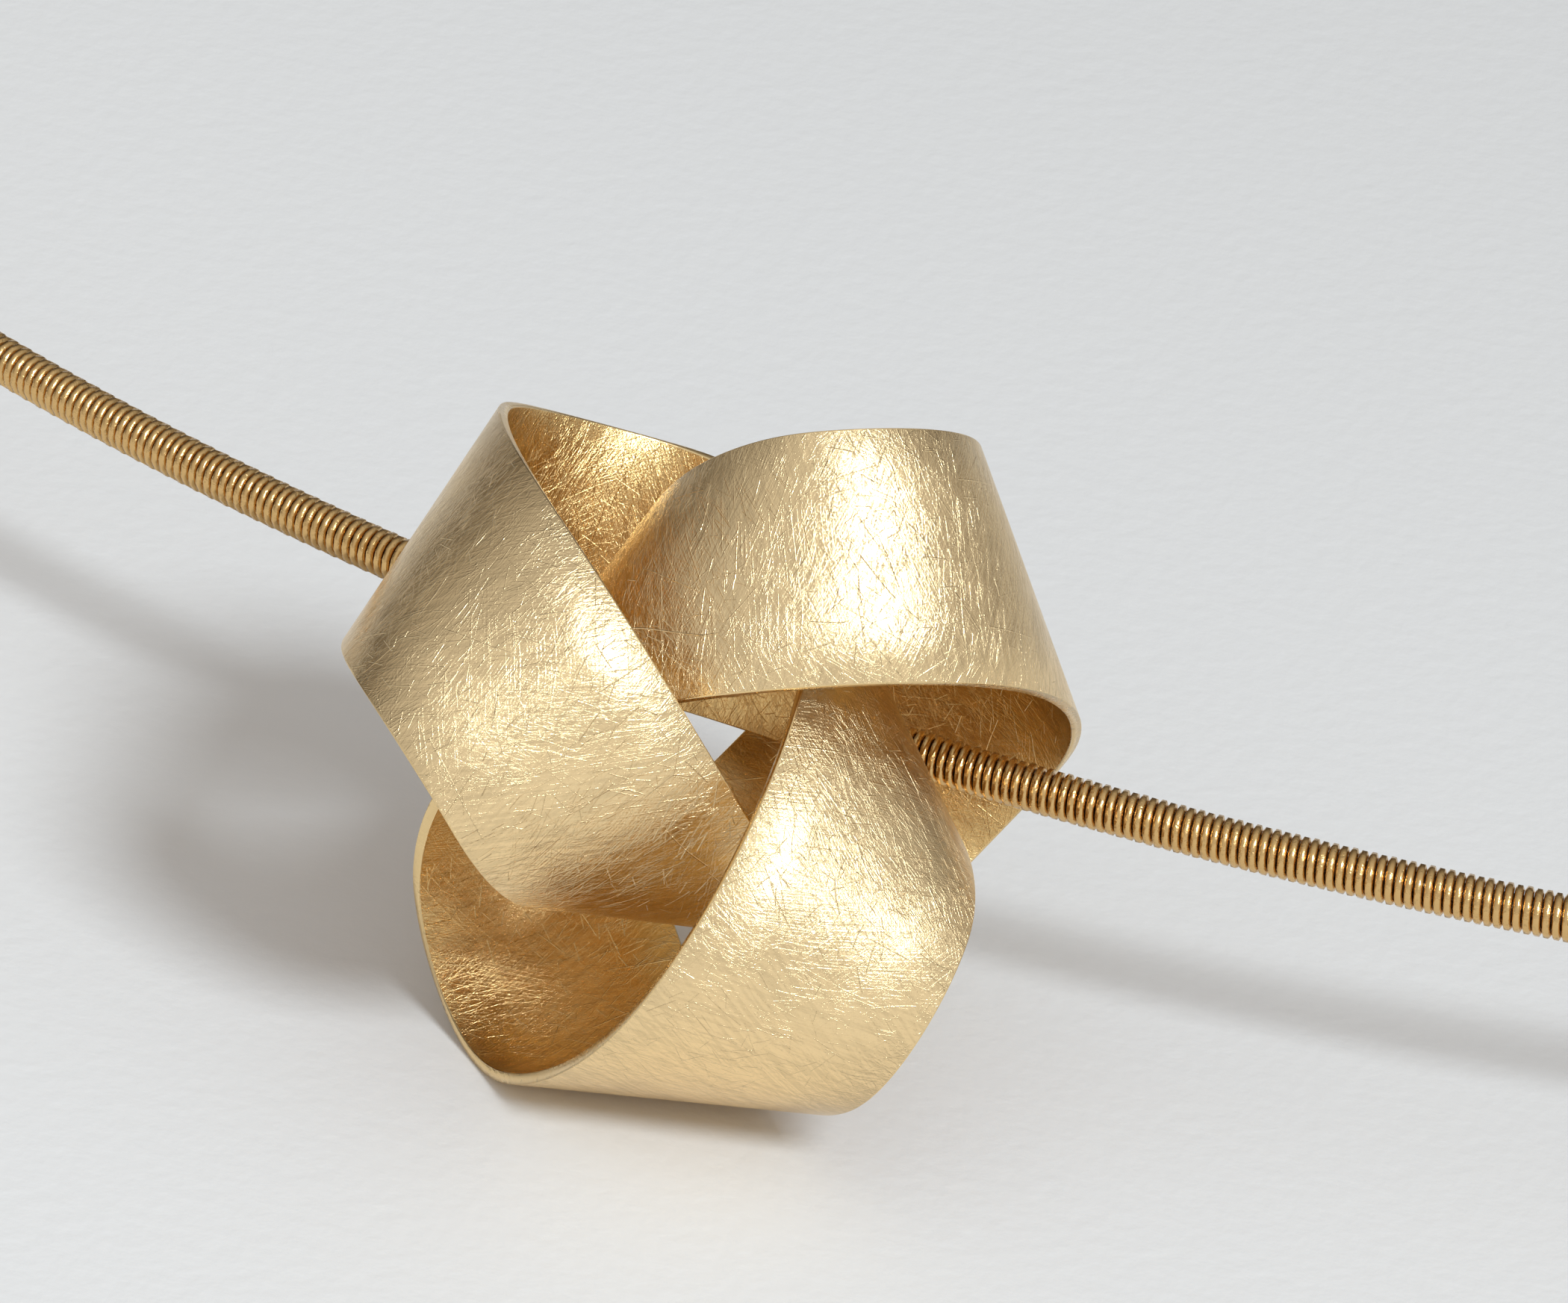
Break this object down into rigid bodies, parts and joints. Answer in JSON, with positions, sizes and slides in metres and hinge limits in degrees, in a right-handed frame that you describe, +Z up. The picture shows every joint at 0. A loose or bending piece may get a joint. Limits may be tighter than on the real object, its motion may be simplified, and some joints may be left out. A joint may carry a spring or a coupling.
{
  "type": "necklace with knot pendant",
  "caption": "Flat brushed-gold ribbon tied as a trefoil knot, threaded on a thin spiral-wound neck wire with end caps, rings and a lobster clasp.",
  "frame": {"origin": "on the surface the necklace stands on, under the middle of its overall size", "axes": "+Z up, +Y from the pendant to the clasp, +X to the closing ring's side"},
  "size_m": [0.1608, 0.1758, 0.0182],
  "materials": {
    "gold_brushed": "gold, matted with fine crossing scratches",
    "gold_wire": "polished gold wire",
    "gold_polished": "polished gold",
    "core_steel": "drawn steel",
    "spring_steel": "bright spring wire"
  },
  "bodies": {
    "collar": {"coil_winding": "gold_wire", "core_cable": "core_steel", "end_cap_left": "gold_polished", "end_cap_right": "gold_polished", "clasp_body": "gold_polished", "gate_rivet": "gold_polished", "gate_spring": "spring_steel"},
    "pendant": {"knot_band": "gold_brushed"},
    "gate": {"clasp_gate": "gold_polished"},
    "left_ring": {"jump_ring": "gold_polished"},
    "right_ring": {"closing_ring": "gold_polished"}
  },
  "joints": [
    {"name": "knot_travel", "type": "hinge", "parent": "collar", "child": "pendant", "pos_m": [0, 0.00601, 0.00459], "axis": [0, 0.0332, 0.9995], "range_deg": [-150, 150]},
    {"name": "gate_swing", "type": "hinge", "parent": "collar", "child": "gate", "pos_m": [-0.00066, 0.08631, 0.00192], "axis": [0, 0.0332, 0.9995], "range_deg": [-35, 0], "stiffness_Nm_per_rad": 0.004},
    {"name": "jump_ring_roll", "type": "hinge", "parent": "collar", "child": "left_ring", "pos_m": [-0.00485, 0.08556, 0.00195], "axis": [1, 0, 0], "range_deg": [-12, 12]},
    {"name": "closing_ring_roll", "type": "hinge", "parent": "collar", "child": "right_ring", "pos_m": [0.00485, 0.08556, 0.00195], "axis": [1, 0, 0], "range_deg": [-12, 12]}
  ]
}
